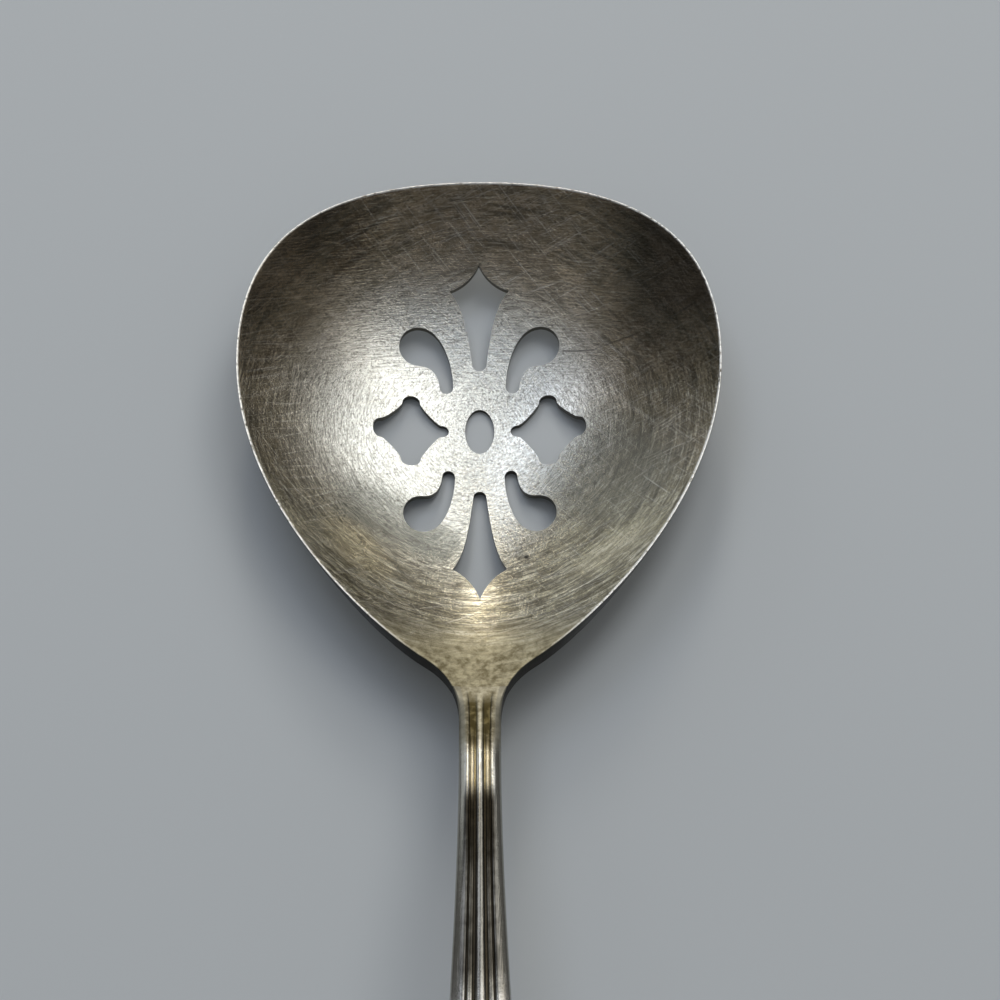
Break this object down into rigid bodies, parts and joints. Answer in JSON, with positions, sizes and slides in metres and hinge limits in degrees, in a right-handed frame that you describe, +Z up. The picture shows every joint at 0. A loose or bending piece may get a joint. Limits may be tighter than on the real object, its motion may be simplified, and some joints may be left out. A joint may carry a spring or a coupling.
{
  "type": "bonbon spoon",
  "caption": "Pierced bonbon spoon with a broad shallow bowl and a slender reeded handle, for lifting sweets and nuts out of a dish.",
  "frame": {"origin": "middle of the spoon's outline seen from above, at the height of the table it lies on", "axes": "+Z up out of the bowl, +Y from the handle's tip to the bowl's front edge, +X across to the right"},
  "size_m": [0.0482, 0.1274, 0.016],
  "materials": {
    "bowl_plate": "worn and tarnished silver plate, finely scratched",
    "handle_plate": "worn silver plate, tarnished in the grooves"
  },
  "bodies": {
    "root": {"bowl": "bowl_plate", "handle": "handle_plate"}
  },
  "joints": []
}
